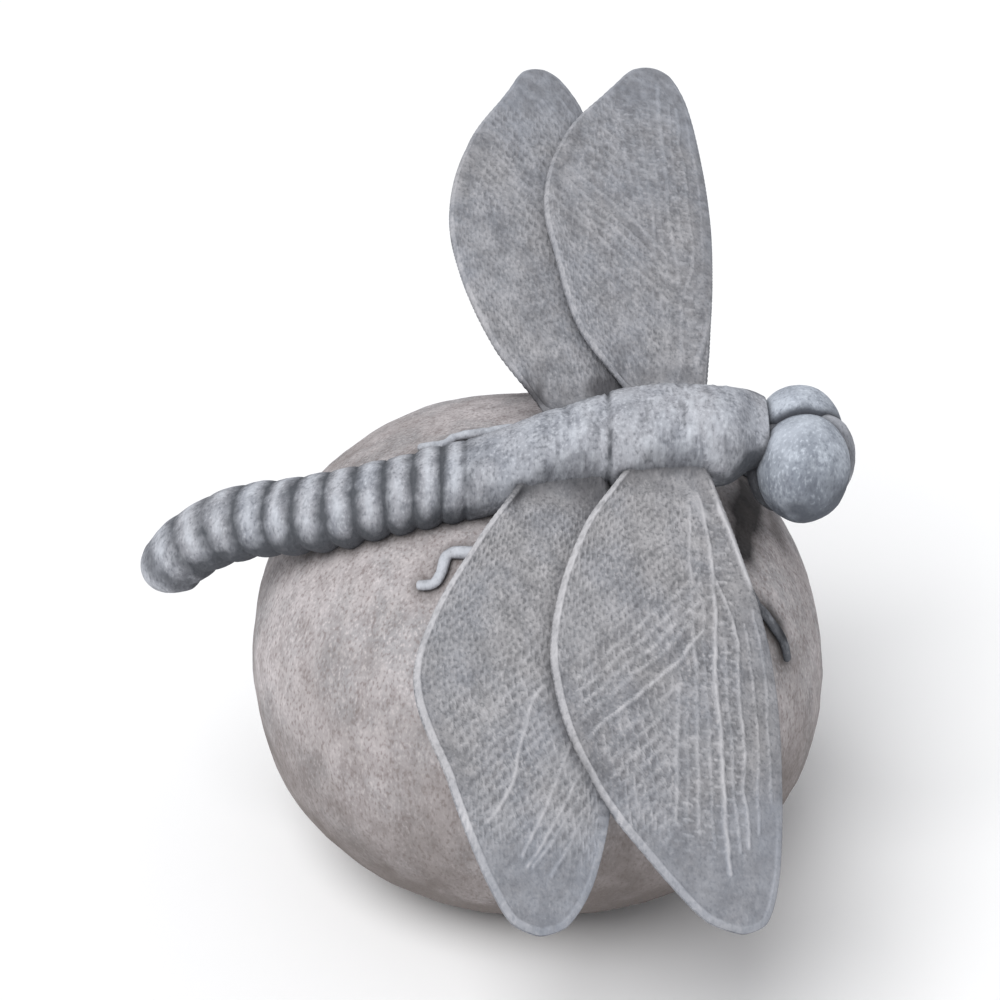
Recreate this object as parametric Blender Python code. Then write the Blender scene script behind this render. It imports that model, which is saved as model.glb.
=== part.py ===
"""A cast-stone dragonfly clinging to a rounded boulder: a garden ornament at its real size.

The casting is parted into its named pieces by thin cuts. Metres, +Z up. The ground is z = 0,
the dragonfly's head looks along +X, and its left side faces +Y.
"""

import math

import bmesh
import bpy
import numpy as np
from mathutils import Vector

MM = 0.001
GAP = 0.3 * MM  # the parting cut between neighbouring pieces

# Places below are in millimetres from the boulder's upright axis at ground level. This is
# where that axis stands in the object's own frame, whose origin is below the box's middle.
BOULDER_AXIS = Vector((12.48, 24.22, 0.0)) * MM

# Boulder: a rounded block, squarer than an ellipsoid, flatter below its middle than above
# and cut flat at the ground.
BOULDER_HALF = (76.6, 74.0, 69.0)
BOULDER_HALF_BELOW = 63.9
BOULDER_CENTRE_HEIGHT = 55.6
BOULDER_SQUARENESS = 2.15
BOULDER_LEAN = 0.03  # the top leans to -X by this share of its height
BOULDER_STEPS = (44, 22)

# The body's line from the head's middle to the tail's end: place, half width, half height
# above the line and half height below it.
BODY_LINE = (
    (63.7, -19.0, 126.9, 9.0, 7.0, 9.0),
    (52.8, -18.6, 133.0, 10.5, 6.5, 11.0),
    (45.2, -21.0, 132.3, 12.0, 12.0, 14.0),
    (30.2, -22.0, 132.9, 13.0, 12.0, 17.0),
    (14.3, -25.0, 132.4, 12.5, 11.0, 15.0),
    (0.9, -27.5, 130.2, 11.0, 10.0, 12.5),
    (-14.8, -29.0, 124.9, 10.5, 9.8, 10.8),
    (-27.0, -29.2, 121.8, 10.4, 9.7, 10.5),
    (-39.4, -27.7, 117.6, 10.4, 9.7, 10.5),
    (-52.0, -24.5, 112.9, 10.4, 9.7, 10.5),
    (-62.7, -20.5, 109.2, 10.3, 9.6, 10.3),
    (-73.2, -17.0, 106.0, 10.0, 9.4, 10.0),
    (-82.1, -14.5, 101.7, 9.6, 9.2, 9.7),
    (-90.0, -12.2, 95.4, 9.1, 9.0, 9.2),
    (-95.2, -10.3, 88.6, 8.6, 8.6, 8.6),
    (-96.8, -9.0, 82.6, 8.2, 8.2, 8.2),
)
BODY_ROLL = math.radians(26.0)  # the whole animal leans towards its right side
UPRIGHT_TO = 136.2  # sections stand upright near the head, square to the line past here
UPRIGHT_FADE = 45.0
BODY_SIDES = 14

# Lengths that the body is parted into, by distance along the line from the head's middle.
NECK = (10.2, 18.7)
THORAX_FRONT = (18.7, 49.4)
THORAX_REAR = (49.4, 65.7)
ABDOMEN_BASE = (65.7, 85.2)
TAIL_END = 181.2
RINGS = 12  # bulging rings from the abdomen's base to the tail's end
RING_GROWTH = 0.2  # how much of the abdomen's length goes to making the later rings longer
RING_DEPTH = 0.12  # depth of a groove as a share of the half width
RINGS_PER_LENGTH = (4, 3, 3, 2)

# Head: eyes, core and face as egg shapes: place along the head, to its left and above its
# middle, then half length, half width and half height.
EYE = (0.4, 6.5, -0.9, 11.6, 12.6, 14.0)
HEAD_CORE = (-3.5, 0.0, -4.5, 9.5, 10.0, 13.0)
FACE = (5.4, 0.0, -2.5, 8.9, 9.0, 12.5)
HEAD_ROLL = math.radians(8.0)  # the head is held more upright than the body
HEAD_STEPS = (20, 12)

# Wings: offsets of the leading and trailing edges from the wing's own axis at shares of the
# span, which is measured as a quarter turn of a circle so that the tip comes out round.
SPAN_SHARES = (0.0, 0.12, 0.24, 0.35, 0.5, 0.7, 0.87, 1.0)
OUTLINES = {
    "wing_fore_left": (
        (11.5, 14.7, 17.7, 19.2, 19.0, 17.2, 13.7, 9.5),
        (-6.0, -19.3, -23.9, -25.7, -19.4, -5.1, 2.8, 9.5),
    ),
    "wing_fore_right": (
        (8.0, 14.4, 20.1, 22.5, 22.6, 20.9, 17.5, 11.9),
        (-9.7, -22.6, -29.7, -30.5, -22.8, -6.7, 3.8, 11.9),
    ),
    "wing_hind_left": (
        (13.5, 10.5, 9.5, 9.5, 9.0, 4.0, -1.9, -6.2),
        (-7.0, -21.6, -30.1, -32.4, -27.9, -17.4, -12.1, -6.2),
    ),
    "wing_hind_right": (
        (12.8, 12.8, 12.9, 12.9, 12.4, 8.0, 2.0, -4.2),
        (-7.5, -19.1, -29.4, -33.2, -25.2, -16.7, -10.5, -4.2),
    ),
}
WING_ROOT_INSIDE = 6.0  # how far a wing's axis starts inside the thorax's side
WING_THICKNESS = 4.0
WING_STEPS = (7, 16)
# Name: side (left is 1), root along and above the body, length, slope below level at root and
# tip, twist with the leading edge down, and lean towards the head.
WINGS = {
    "wing_fore_left": (1, 29.7, -1.0, 112.0, -39.0, -27.0, 14.0, -0.06),
    "wing_fore_right": (-1, 31.8, 1.0, 116.0, 33.0, 43.0, 12.0, 0.0),
    "wing_hind_left": (1, 9.5, -2.5, 113.0, -39.0, -27.0, 14.0, -0.015),
    "wing_hind_right": (-1, 3.8, 0.0, 115.0, 31.0, 37.0, 12.0, -0.01),
}

# Legs lie along the boulder: each point is a place along X and an angle round the boulder
# from straight up towards the right side, in degrees.
LEG_RADIUS = 1.2
LEGS = {
    "leg_fore_left": ((34, 12), (44, -4), (52, -9), (57, -15), (61, -16)),
    "leg_mid_left": ((26, 10), (31, -8), (28, -18), (22, -23), (20, -29)),
    "leg_hind_left": ((8, 10), (-2, 3), (-11, 3.5), (-19, 4), (-22, 6), (-29, 5)),
    "leg_fore_right": ((34, 26), (42, 33), (49, 37), (54, 45), (57, 48), (61, 54), (62, 60)),
    "leg_mid_right": ((28, 26), (34, 44), (31, 54), (25, 59), (24, 66)),
    "leg_hind_right": ((8, 26), (-4, 37), (-14, 38), (-20.5, 38), (-22.5, 42), (-24.5, 44), (-28.5, 44)),
}
LEG_STEPS = 3  # straight runs between two of a leg's points

SHARP_FROM = 32.0  # edges that turn by more degrees than this are shaded as corners
COLOURS = {
    "boulder": (0.42, 0.39, 0.38),
    "body": (0.33, 0.35, 0.38),
    "wing": (0.31, 0.32, 0.34),
    "eye": (0.36, 0.39, 0.44),
    "leg": (0.38, 0.38, 0.39),
}
STONE_ROUGHNESS = 0.9


def clear_scene():
    for obj in list(bpy.data.objects):
        bpy.data.objects.remove(obj)


def new_collection(name, hidden=False):
    collection = bpy.data.collections.new(name)
    bpy.context.scene.collection.children.link(collection)
    collection.hide_render = hidden
    return collection


def stone(name, colour):
    material = bpy.data.materials.new(name)
    material.use_nodes = True
    surface = material.node_tree.nodes["Principled BSDF"]
    surface.inputs["Base Color"].default_value = (*colour, 1.0)
    surface.inputs["Roughness"].default_value = STONE_ROUGHNESS
    surface.inputs["Metallic"].default_value = 0.0
    return material


def smooth_through(rows, place):
    """The rows read at a fractional row number, on a curve that passes through each row."""
    first = min(max(int(place), 0), len(rows) - 2)
    share = place - first
    before, here = rows[max(first - 1, 0)], rows[first]
    there, after = rows[first + 1], rows[min(first + 2, len(rows) - 1)]
    return 0.5 * (
        2 * here
        + (there - before) * share
        + (2 * before - 5 * here + 4 * there - after) * share**2
        + (3 * here - before - 3 * there + after) * share**3
    )


def dense_line(rows, steps=20):
    """Close samples of the body's line, and how far along it each one lies."""
    places = np.linspace(0, len(rows) - 1, (len(rows) - 1) * steps + 1)
    samples = np.array([smooth_through(rows, place) for place in places])
    runs = np.linalg.norm(np.diff(samples[:, :3], axis=0), axis=1)
    return samples, np.concatenate([[0.0], np.cumsum(runs)])


LINE, ALONG = dense_line(np.array(BODY_LINE))


def body_at(distance, roll=BODY_ROLL):
    """Centre, direction to the head, left and up directions, and half sizes of the body."""
    row = [np.interp(distance, ALONG, column) for column in LINE.T]
    ahead = [np.interp(distance - 1.0, ALONG, column) for column in LINE.T[:3]]
    behind = [np.interp(distance + 1.0, ALONG, column) for column in LINE.T[:3]]
    forward = (Vector(ahead) - Vector(behind)).normalized()
    upright = min(max((UPRIGHT_TO - distance) / UPRIGHT_FADE, 0.0), 1.0)
    forward = forward.lerp(Vector((1.0, 0.0, 0.0)), upright).normalized()
    up = Vector((0.0, -math.sin(roll), math.cos(roll)))
    up = (up - forward * up.dot(forward)).normalized()
    return Vector(row[:3]), forward, up.cross(forward), up, row[3:]


def ring_start(number):
    """The distance along the line at which a ring starts."""
    share = number / RINGS
    share = (1.0 - RING_GROWTH) * share + RING_GROWTH * share**2
    return ABDOMEN_BASE[1] + (TAIL_END - ABDOMEN_BASE[1]) * share


def ring_number(distance):
    """How many rings, with parts of one, lie between the abdomen's base and this distance."""
    return float(np.interp(distance, [ring_start(n) for n in range(RINGS + 1)], range(RINGS + 1)))


def body_swell(distance):
    """How full the section is: 1, less in the grooves between rings and at the tail's end."""
    swell = 1.0
    if distance > ABDOMEN_BASE[1]:
        bulge = abs(math.sin(math.pi * ring_number(distance))) ** 0.5
        swell -= RING_DEPTH * (1.0 - bulge)
    to_end = TAIL_END - distance
    cap = BODY_LINE[-1][3]
    if to_end < cap:
        swell *= math.sqrt(max(1.0 - (1.0 - to_end / cap) ** 2, 0.01))
    return swell


def new_object(name, bm, collection, material=None):
    for vertex in bm.verts:
        vertex.co = vertex.co * MM + BOULDER_AXIS
    bmesh.ops.recalc_face_normals(bm, faces=bm.faces)
    mesh = bpy.data.meshes.new(name)
    bm.to_mesh(mesh)
    bm.free()
    mesh.shade_smooth()
    mesh.set_sharp_from_angle(angle=math.radians(SHARP_FROM))
    obj = bpy.data.objects.new(name, mesh)
    collection.objects.link(obj)
    if material:
        mesh.materials.append(material)
    else:
        obj.hide_render = True
        obj.display_type = "WIRE"
    return obj


def cut(obj, *cutters):
    for cutter in cutters:
        modifier = obj.modifiers.new("cut by " + cutter.name, "BOOLEAN")
        modifier.operation = "DIFFERENCE"
        modifier.solver = "EXACT"
        modifier.object = cutter


def boulder_reach(direction, grow=0.0):
    """How far the boulder's surface is from its centre in a direction of length 1."""
    half_x, half_y, half_z = BOULDER_HALF
    if direction.z < 0:
        half_z = BOULDER_HALF_BELOW
    power = BOULDER_SQUARENESS
    shares = (direction.x / half_x, direction.y / half_y, direction.z / half_z)
    return sum(abs(share) ** power for share in shares) ** (-1 / power) + grow


def stand_on_ground(point):
    """A point round the boulder's centre, leaned with the boulder and raised to its place."""
    return point + Vector((-BOULDER_LEAN * point.z, 0.0, BOULDER_CENTRE_HEIGHT))


def on_boulder(x, angle, height):
    """The point at x and at an angle round the boulder's X axis, at a height off the stone."""
    across = Vector((0.0, -math.sin(angle), math.cos(angle)))
    low, high = 0.0, 2 * max(BOULDER_HALF)
    for _ in range(40):
        middle = (low + high) / 2
        point = Vector((x, 0.0, 0.0)) + across * middle
        if point.length < boulder_reach(point.normalized(), height):
            low = middle
        else:
            high = middle
    return stand_on_ground(point)


def boulder_shape(grow=0.0):
    bm = bmesh.new()
    across, upward = BOULDER_STEPS
    bmesh.ops.create_uvsphere(bm, u_segments=across, v_segments=upward, radius=1.0)
    for vertex in bm.verts:
        direction = vertex.co.normalized()
        vertex.co = stand_on_ground(direction * boulder_reach(direction, grow))
    everything = bm.verts[:] + bm.edges[:] + bm.faces[:]
    ground = bmesh.ops.bisect_plane(
        bm, geom=everything, plane_co=(0, 0, -grow), plane_no=(0, 0, -1), clear_outer=True
    )
    rim = [part for part in ground["geom_cut"] if isinstance(part, bmesh.types.BMEdge)]
    bmesh.ops.contextual_create(bm, geom=rim)
    return bm


def body_length(start, end, loops, grow=0.0):
    """A ball drawn out along the body's line, with flat ends, between two distances."""
    bm = bmesh.new()
    bmesh.ops.create_uvsphere(bm, u_segments=BODY_SIDES, v_segments=loops + 1, radius=1.0)
    for vertex in bm.verts:
        loop = round(math.acos(max(-1.0, min(1.0, vertex.co.z))) / math.pi * (loops + 1))
        share = min(max((loop - 1) / (loops - 1), 0.0), 1.0)
        distance = start + (end - start) * share
        centre, _, left, up, (width, above, below) = body_at(distance)
        around = math.atan2(vertex.co.y, vertex.co.x)
        swell = 0.0 if loop in (0, loops + 1) else body_swell(distance)
        height = above if math.sin(around) > 0 else below
        vertex.co = centre + left * (width * swell + grow) * math.cos(around) * (swell > 0)
        vertex.co += up * (height * swell + grow) * math.sin(around) * (swell > 0)
    return bm


def egg(shape, side=1, grow=0.0):
    """An egg shape of the head, standing on the head's own directions."""
    along, out, above, half_length, half_width, half_height = shape
    centre, forward, left, up, _ = body_at(0.0, HEAD_ROLL)
    bm = bmesh.new()
    around, upward = HEAD_STEPS
    bmesh.ops.create_uvsphere(bm, u_segments=around, v_segments=upward, radius=1.0)
    for vertex in bm.verts:
        x, y, z = vertex.co
        vertex.co = centre + forward * (along + x * (half_length + grow))
        vertex.co += left * (side * out + y * (half_width + grow))
        vertex.co += up * (above + z * (half_height + grow))
    return bm


def eye_shape(side, grow=0.0):
    """One eye, cut flat just beside the head's middle plane."""
    bm = egg(EYE, side, grow)
    centre, _, left, _, _ = body_at(0.0, HEAD_ROLL)
    inner = 0.5 * GAP / MM - 4 * grow
    flat = bmesh.ops.bisect_plane(
        bm,
        geom=bm.verts[:] + bm.edges[:] + bm.faces[:],
        plane_co=centre + left * side * inner,
        plane_no=-left * side,
        clear_outer=True,
    )
    rim = [part for part in flat["geom_cut"] if isinstance(part, bmesh.types.BMEdge)]
    bmesh.ops.contextual_create(bm, geom=rim)
    return bm


def wing_point(name, across, span, above=0.0, grow=0.0):
    """A point of a wing: its shares across the wing and along the span, and its height."""
    side, root_x, root_up, length, slope, tip_slope, twist, lean = WINGS[name]
    leading, trailing = OUTLINES[name]
    place = float(np.interp(span, SPAN_SHARES, range(len(SPAN_SHARES))))
    front = smooth_through(np.array(leading), place) + grow
    back = smooth_through(np.array(trailing), place) - grow
    reach = length * math.sin(math.pi / 2 * span)
    slope, tip_slope = math.radians(slope), math.radians(tip_slope)
    here = slope + (tip_slope - slope) * reach / length
    bend_radius = length / (tip_slope - slope)
    outward = bend_radius * (math.sin(here) - math.sin(slope))
    downward = bend_radius * (math.cos(slope) - math.cos(here))
    root = float(np.interp(-root_x, -LINE[:, 0], ALONG))
    centre, _, left, up, sizes = body_at(root)
    middle = Vector((root_x, centre.y, centre.z))
    middle += left * side * (sizes[0] - WING_ROOT_INSIDE) + up * root_up
    middle += Vector((lean * reach, side * outward, -downward))
    level = Vector((0.0, side * math.sin(here), math.cos(here)))
    turn = math.radians(twist)
    chord = Vector((1.0, 0.0, 0.0)) * math.cos(turn) - level * math.sin(turn)
    normal = level * math.cos(turn) + Vector((1.0, 0.0, 0.0)) * math.sin(turn)
    return middle + chord * (back + (front - back) * across) + normal * above


def wing_shape(name, grow=0.0):
    """A flat plate with the wing's outline, bent and twisted into its place."""
    bm = bmesh.new()
    across, along = WING_STEPS
    bmesh.ops.create_grid(bm, x_segments=across, y_segments=along, size=1.0)
    bmesh.ops.solidify(bm, geom=bm.faces[:], thickness=1.0)
    thickness = WING_THICKNESS + 2 * grow
    for vertex in bm.verts:
        x, y, z = vertex.co
        above = (z + 0.5) * thickness
        vertex.co = wing_point(name, (x + 1) / 2, (y + 1) / 2, above, grow)
    bmesh.ops.remove_doubles(bm, verts=bm.verts, dist=0.01)
    return bm


def leg(name, points, collection, material):
    """A thin bar bent along the boulder, as a tube made into a mesh so that it can be cut."""
    rows = np.array(points, float)
    curve = bpy.data.curves.new(name, "CURVE")
    curve.dimensions = "3D"
    curve.bevel_depth = LEG_RADIUS * MM
    curve.bevel_resolution = 2
    curve.use_fill_caps = True
    spline = curve.splines.new("POLY")
    steps = (len(points) - 1) * LEG_STEPS
    spline.points.add(steps)
    for number, point in enumerate(spline.points):
        x, angle = smooth_through(rows, number / LEG_STEPS)
        place = on_boulder(x, math.radians(angle), LEG_RADIUS + GAP / MM)
        point.co = (*(place * MM + BOULDER_AXIS), 1.0)
    tube = bpy.data.objects.new(name, curve)
    collection.objects.link(tube)
    bpy.context.view_layer.update()
    evaluated = tube.evaluated_get(bpy.context.evaluated_depsgraph_get())
    mesh = bpy.data.meshes.new_from_object(evaluated)
    bpy.data.objects.remove(tube)
    bm = bmesh.new()
    bm.from_mesh(mesh)
    bmesh.ops.remove_doubles(bm, verts=bm.verts, dist=0.00001)
    bmesh.ops.recalc_face_normals(bm, faces=bm.faces)
    bm.to_mesh(mesh)
    bm.free()
    mesh.name = name
    mesh.materials.clear()
    mesh.materials.append(material)
    obj = bpy.data.objects.new(name, mesh)
    collection.objects.link(obj)
    return obj


def build():
    clear_scene()
    parts = new_collection("dragonfly_on_boulder")
    cutters = new_collection("cutters", hidden=True)
    gap = GAP / MM

    new_object("boulder", boulder_shape(), parts, stone("boulder stone", COLOURS["boulder"]))
    boulder_cutter = new_object("boulder cutter", boulder_shape(gap), cutters)
    body_cutter = new_object(
        "body cutter", body_length(NECK[0] - 2, ring_start(4), 40, gap), cutters
    )

    lengths = {
        "neck": (*NECK, 5),
        "thorax_front": (*THORAX_FRONT, 9),
        "thorax_rear": (*THORAX_REAR, 7),
        "abdomen_base": (*ABDOMEN_BASE, 5),
    }
    ring = 0
    for number, rings in enumerate(RINGS_PER_LENGTH, start=1):
        ends = ring_start(ring), ring_start(ring + rings)
        lengths[f"abdomen_{number}"] = (*ends, 4 * rings + 1)
        ring += rings
    pieces = {}
    for name, (start, end, loops) in lengths.items():
        shape = body_length(start + gap / 2, end - gap / 2, loops)
        pieces[name] = new_object(name, shape, parts, stone(name + " stone", COLOURS["body"]))
        cut(pieces[name], boulder_cutter)

    core_cutter = new_object("head core cutter", egg(HEAD_CORE, grow=gap), cutters)
    eye_cutters = []
    for side, word in ((1, "left"), (-1, "right")):
        eye_material = stone(f"eye {word} stone", COLOURS["eye"])
        new_object(f"eye_{word}", eye_shape(side), parts, eye_material)
        eye_cutters.append(new_object(f"eye {word} cutter", eye_shape(side, gap), cutters))
    head = new_object("head", egg(HEAD_CORE), parts, stone("head stone", COLOURS["body"]))
    face = new_object("face", egg(FACE), parts, stone("face stone", COLOURS["body"]))
    cut(head, *eye_cutters)
    cut(face, core_cutter, *eye_cutters)
    cut(pieces["neck"], core_cutter, *eye_cutters)

    for name in WINGS:
        obj = new_object(name, wing_shape(name), parts, stone(name + " stone", COLOURS["wing"]))
        cut(obj, body_cutter)
        if name.startswith("wing_hind"):
            fore = name.replace("hind", "fore")
            cut(obj, new_object(fore + " cutter", wing_shape(fore, gap), cutters))
    for name, points in LEGS.items():
        obj = leg(name, points, parts, stone(name + " stone", COLOURS["leg"]))
        cut(obj, body_cutter)


build()
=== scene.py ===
"""A cast-stone dragonfly clinging to a boulder: its skin, relief and finish, round the model.

Places are in millimetres from the boulder's upright axis at ground level, with the head
towards +X, until to_frame carries them into the model's frame in metres. Each piece keeps a
relief tone with its points: above 0 the stone is rubbed light there or carries a painted
highlight, below 0 it is stained or painted in shade.
"""

import itertools
import math

import bmesh
import bpy
import numpy as np
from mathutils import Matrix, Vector
from mathutils.bvhtree import BVHTree
from mathutils.kdtree import KDTree


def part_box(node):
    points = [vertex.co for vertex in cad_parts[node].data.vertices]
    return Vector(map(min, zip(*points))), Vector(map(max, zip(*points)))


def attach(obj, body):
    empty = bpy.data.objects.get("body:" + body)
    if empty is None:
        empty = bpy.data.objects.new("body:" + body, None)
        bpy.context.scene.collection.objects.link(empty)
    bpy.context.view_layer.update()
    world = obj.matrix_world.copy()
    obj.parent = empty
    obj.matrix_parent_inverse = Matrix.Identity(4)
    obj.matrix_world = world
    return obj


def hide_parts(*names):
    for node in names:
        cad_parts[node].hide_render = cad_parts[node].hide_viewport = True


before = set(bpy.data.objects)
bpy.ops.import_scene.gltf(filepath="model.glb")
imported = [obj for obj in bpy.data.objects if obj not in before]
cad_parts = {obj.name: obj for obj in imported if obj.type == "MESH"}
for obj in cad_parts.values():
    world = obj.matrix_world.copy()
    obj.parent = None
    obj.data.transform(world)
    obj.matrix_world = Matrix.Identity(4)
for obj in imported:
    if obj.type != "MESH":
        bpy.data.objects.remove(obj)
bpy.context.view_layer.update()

MM = 0.001

# Where the boulder stands: its upright axis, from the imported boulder's own box.
block_low, block_high = (np.array(corner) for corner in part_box("boulder"))
AXIS = np.array([*(block_low[:2] + block_high[:2]) / 2, block_low[2]])


# ---- sizes of the boulder

BOULDER_HALF = (76.6, 74.0, 69.0)
BOULDER_HALF_BELOW = 63.9
BOULDER_CENTRE_HEIGHT = 55.6
BOULDER_SQUARENESS = 2.15
BOULDER_LEAN = 0.03
BOULDER_STEPS = (300, 160)
BOULDER_RIM = 3.0  # how softly its side turns into the trowelled underside
# Rows of lumps hold their height in mm, the distance between them in mm, and a seed.
BOULDER_LUMPS = ((0.35, 22.0, 1), (0.2, 6.0, 2), (0.1, 2.6, 3))
BOULDER_INSET = 0.45  # keeps the lumps inside the solid
HALVINGS = 40  # to find the boulder's surface along a line
# The lumps are rubbed light and the hollows between them stained, and the foot is painted in
# shade.
BOULDER_TONES = {"lumps": 0.9, "all over": -0.1, "foot": -0.97}
FOOT_SHADE = (6.0, 74.0)  # the heights between which the painted shade at the boulder's foot fades
# Painted shadow lies along short lines on the stone, below the head, by a leg and at a wing's
# root: two ends, how far it spreads, how dark it is.
PAINTED_SHADOW_LINES = (
    ((55.5, 7, 103), (51.5, -15, 105), 6.0, 1.5),
    ((51.5, -15, 105), (50, -26, 103), 4.5, 1.4),
    ((60, 10, 99), (62, -8, 97.5), 6.0, 0.6),
    ((56, -37, 90), (60, -38, 86), 3.5, 1.3),
    ((-3, 26, 121), (5, 24, 122), 6.0, 0.6),
)
PAINTED_SHADOW_EDGE = ((0.8, 4.0, 44),)


# ---- sizes of the body and head

# The body's line from the head's middle to the tail's end: place, half width, half height
# above the line and half height below it.
BODY_LINE = (
    (63.7, -19.0, 126.9, 9.0, 7.0, 9.0),
    (52.8, -18.6, 133.0, 10.5, 6.5, 11.0),
    (45.2, -21.0, 132.3, 12.0, 12.0, 14.0),
    (30.2, -22.0, 132.9, 13.0, 12.0, 17.0),
    (14.3, -25.0, 132.4, 12.5, 11.0, 15.0),
    (0.9, -27.5, 130.2, 11.0, 10.0, 12.5),
    (-14.8, -29.0, 124.9, 10.5, 9.8, 10.8),
    (-27.0, -29.2, 121.8, 10.4, 9.7, 10.5),
    (-39.4, -27.7, 117.6, 10.4, 9.7, 10.5),
    (-52.0, -24.5, 112.9, 10.4, 9.7, 10.5),
    (-62.7, -20.5, 109.2, 10.3, 9.6, 10.3),
    (-73.2, -17.0, 106.0, 10.0, 9.4, 10.0),
    (-82.1, -14.5, 101.7, 9.6, 9.2, 9.7),
    (-90.0, -12.2, 95.4, 9.1, 9.0, 9.2),
    (-95.2, -10.3, 88.6, 8.6, 8.6, 8.6),
    (-96.8, -9.0, 82.6, 8.2, 8.2, 8.2),
)
BODY_ROLL = math.radians(26.0)
UPRIGHT_TO = 136.2  # from here on the sections follow the line's bend, towards the tail
UPRIGHT_FADE = 45.0  # the stretch ahead of that over which they turn square to X
BODY_START = 9.5  # where the skin starts, inside the head
PLATE_EDGE = 49.4  # the collar's rear edge, a step down to the rear of the thorax
THORAX_END = 65.7
RINGS_START = 85.2
TAIL_END = 181.2
RINGS = 12
RING_GROWTH = 0.2  # how much longer the rings grow towards the tail
RING_EDGES = (0.42, 0.82)  # the power of the groove above and below: lower is narrower
WEAKEST_RING = 0.5  # the share of its depth that the last groove keeps
CREST_MIDDLE, CREST_SPREAD = 0.85, 0.45  # where round the section the rubbed crests carry a painted highlight
CREST_SHARPNESS = 4  # a power: higher keeps the rubbing to the middle of each ring
FUR_BENEATH = 0.35  # how strong the fur is under the thorax
BARE_PLATE = 0.8  # how much weaker it is on the plate
# Fur strokes: their size in mm along the body and across it, height as a share, and seed.
FUR_STROKES = (((1.0, 2.8, 2.8), 1.0, 4), ((0.7, 1.5, 1.5), 0.7, 5))
STEP_BEYOND, STEP_WIDTH = 0.6, 0.8  # of the notch behind the plate's edge
WAIST_WIDTH = 1.6
LIT_TAIL, LIT_FAR_SIDE = 0.7, 0.6  # how much of the underside's painted shade these two lose
SKIN_LUMPS = {"lumps": (5.0, 6), "grit": (1.3, 7), "mottle": (2.2, 8)}
BODY_STEPS = (150, 520)

# Stretches of the body, each fading in or out between two distances along it.
NECK_OUT = (12.0, 27.0)
THROAT_OUT = (22.0, 34.0)
FUR_IN, FUR_OUT = (17.0, 23.0), (63.0, 68.0)
PLATE_IN, PLATE_OUT = (42.5, 44.0), (49.0, 49.8)
SUNK_IN, SUNK_OUT = (PLATE_EDGE, PLATE_EDGE + 0.8), (59.0, 67.0)
ABDOMEN_IN = (71.0, 91.0)
CRESTS_IN = (83.0, 89.0)
TAIL_IN = (150.0, 175.0)
LIT_TAIL_IN = (150.0, 172.0)
# The same in rings, and in mm before the tail's end.
FIRST_RING_IN = (0.0, 0.15)
LAST_RING_OUT = (6.0, 15.0)
WEAK_RINGS_OUT = (20.0, 60.0)
# The same round the section, by the sine of the angle, downwards.
BELOW_IN = (-0.5, 0.75)
UNDERSIDE_IN = (-0.6, 0.25)
BELLY_IN = (0.1, 0.9)
NECK_SIDE_IN = (-0.95, -0.2)
THROAT_SIDE_IN = (-0.35, 0.25)
# The same upwards, and to the left by the cosine.
FUR_SIDE_IN = (-0.1, 0.6)
FAR_SIDE_IN = (-0.2, 0.5)

# How far each feature makes the skin stand off the body, in mm.
SKIN_HEIGHTS = {
    "fur": 0.24,
    "groove": -0.85,
    "groove below": -0.5,
    "step": -0.45,
    "sunk": -0.5,
    "waist": -0.15,
    "lumps": 0.25,
    "grit": 0.07,
    "all over": -0.35,
}
# How much each feature lightens or stains the stone: the crests are rubbed light and also
# carry a painted highlight, and the underside, belly, neck, throat and step are painted shade.
SKIN_TONES = {
    "all over": 0.18,
    "fur": 0.4,
    "groove": -1.1,
    "rubbed_and_lit": 0.9,
    "abdomen": -0.56,
    "underside": -0.8,
    "mottle": 0.3,
    "step": -0.9,
    "waist": -0.3,
    "tail": -0.1,
    "belly": -0.4,
    "neck": -1.3,
    "throat": -0.6,
}

# Head, eyes and face, as egg shapes: middle ahead of, beside and above the head's middle, and
# half length, width and height.
HEAD_CORE = (-3.5, 0.0, -4.5, 9.5, 10.0, 13.0)
FACE = (5.4, 0.0, -2.5, 8.9, 9.0, 12.5)
EYE = (0.4, 6.5, -0.9, 11.6, 12.6, 14.0)
# Name: shape, side (left is 1, middle 0), node, height of its dents in mm, tone and seed.
EGGS = {
    "head_core": (HEAD_CORE, 0, "head", 0.2, -0.6, 10),
    "face_front": (FACE, 0, "face", 0.3, -0.2, 14),
    "eye_dome_left": (EYE, 1, "eye_left", 0.25, -0.2, 18),
    "eye_dome_right": (EYE, -1, "eye_right", 0.25, -0.2, 18),
}
HEAD_ROLL = math.radians(8.0)
HEAD_STEPS = (120, 80)
EGG_RADIUS = 10.0  # about what one measures, to give its lumps their size
DENT_SIZE, GRIT_HEIGHT, EGG_GRIT_SIZE, EGG_MOTTLE_SIZE = 4.5, 0.05, 1.0, 3.0
LIT_SIDE = (-0.45, 0.4, 0.8)  # the side of an egg that carries a painted highlight; the other side is painted in shade
EYE_SEAM_WIDTH = 1.8  # of the dark line where the eyes meet
# The lit side and the eyes' shaded side are painted highlight and painted shade; the seam is the
# dark line where the eyes meet.
EGG_TONES = {"dents": 1.0, "mottle": 0.25, "painted_light": 0.3}
EYE_TONES = {"painted_light": 0.5, "shaded": -0.3, "seam": -1.3}
LEFT_EYE_TONE = -0.25  # the left eye is this much darker
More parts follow.
